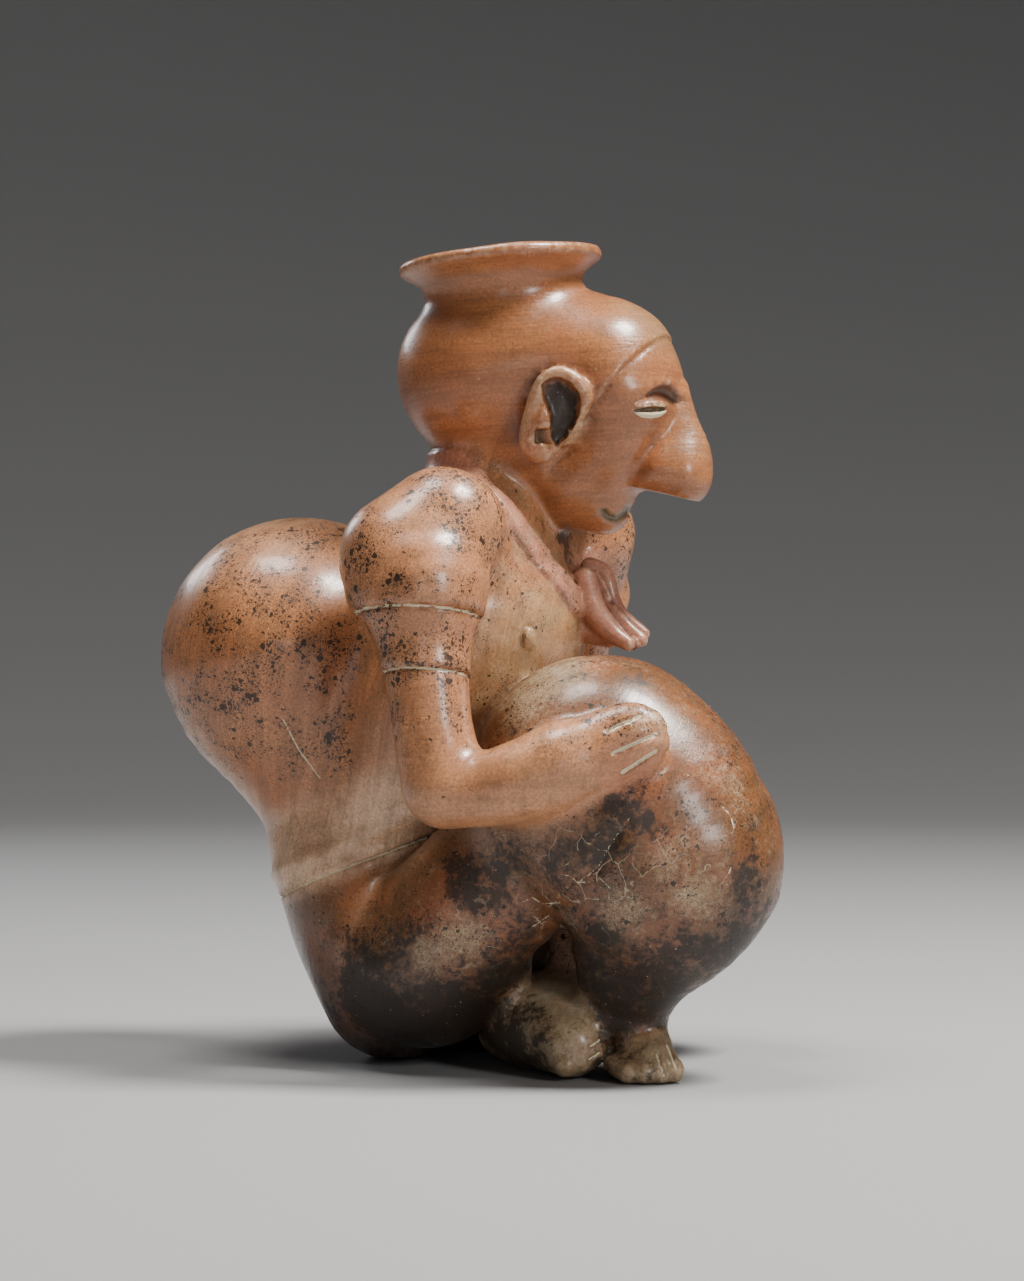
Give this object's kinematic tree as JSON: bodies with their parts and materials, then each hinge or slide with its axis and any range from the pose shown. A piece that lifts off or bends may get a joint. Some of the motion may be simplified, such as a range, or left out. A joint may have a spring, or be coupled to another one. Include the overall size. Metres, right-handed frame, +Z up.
{
  "type": "hunchback effigy vessel",
  "caption": "Hollow burnished clay vessel shaped as a seated hunchback with hands on the drawn-up knees and a flared pouring mouth on top of the head.",
  "frame": {"origin": "on the floor, under the middle of the figure's outline", "axes": "+X the way the figure faces, +Y to its left, +Z up through the pouring mouth"},
  "size_m": [0.2773, 0.2164, 0.3483],
  "materials": {
    "burnished_clay": "burnished low-fired clay, reddish brown, with black manganese specks, grey clouding and cream mineral deposit in the cut lines"
  },
  "bodies": {
    "root": {"hunchback_vessel": "burnished_clay"}
  },
  "joints": []
}
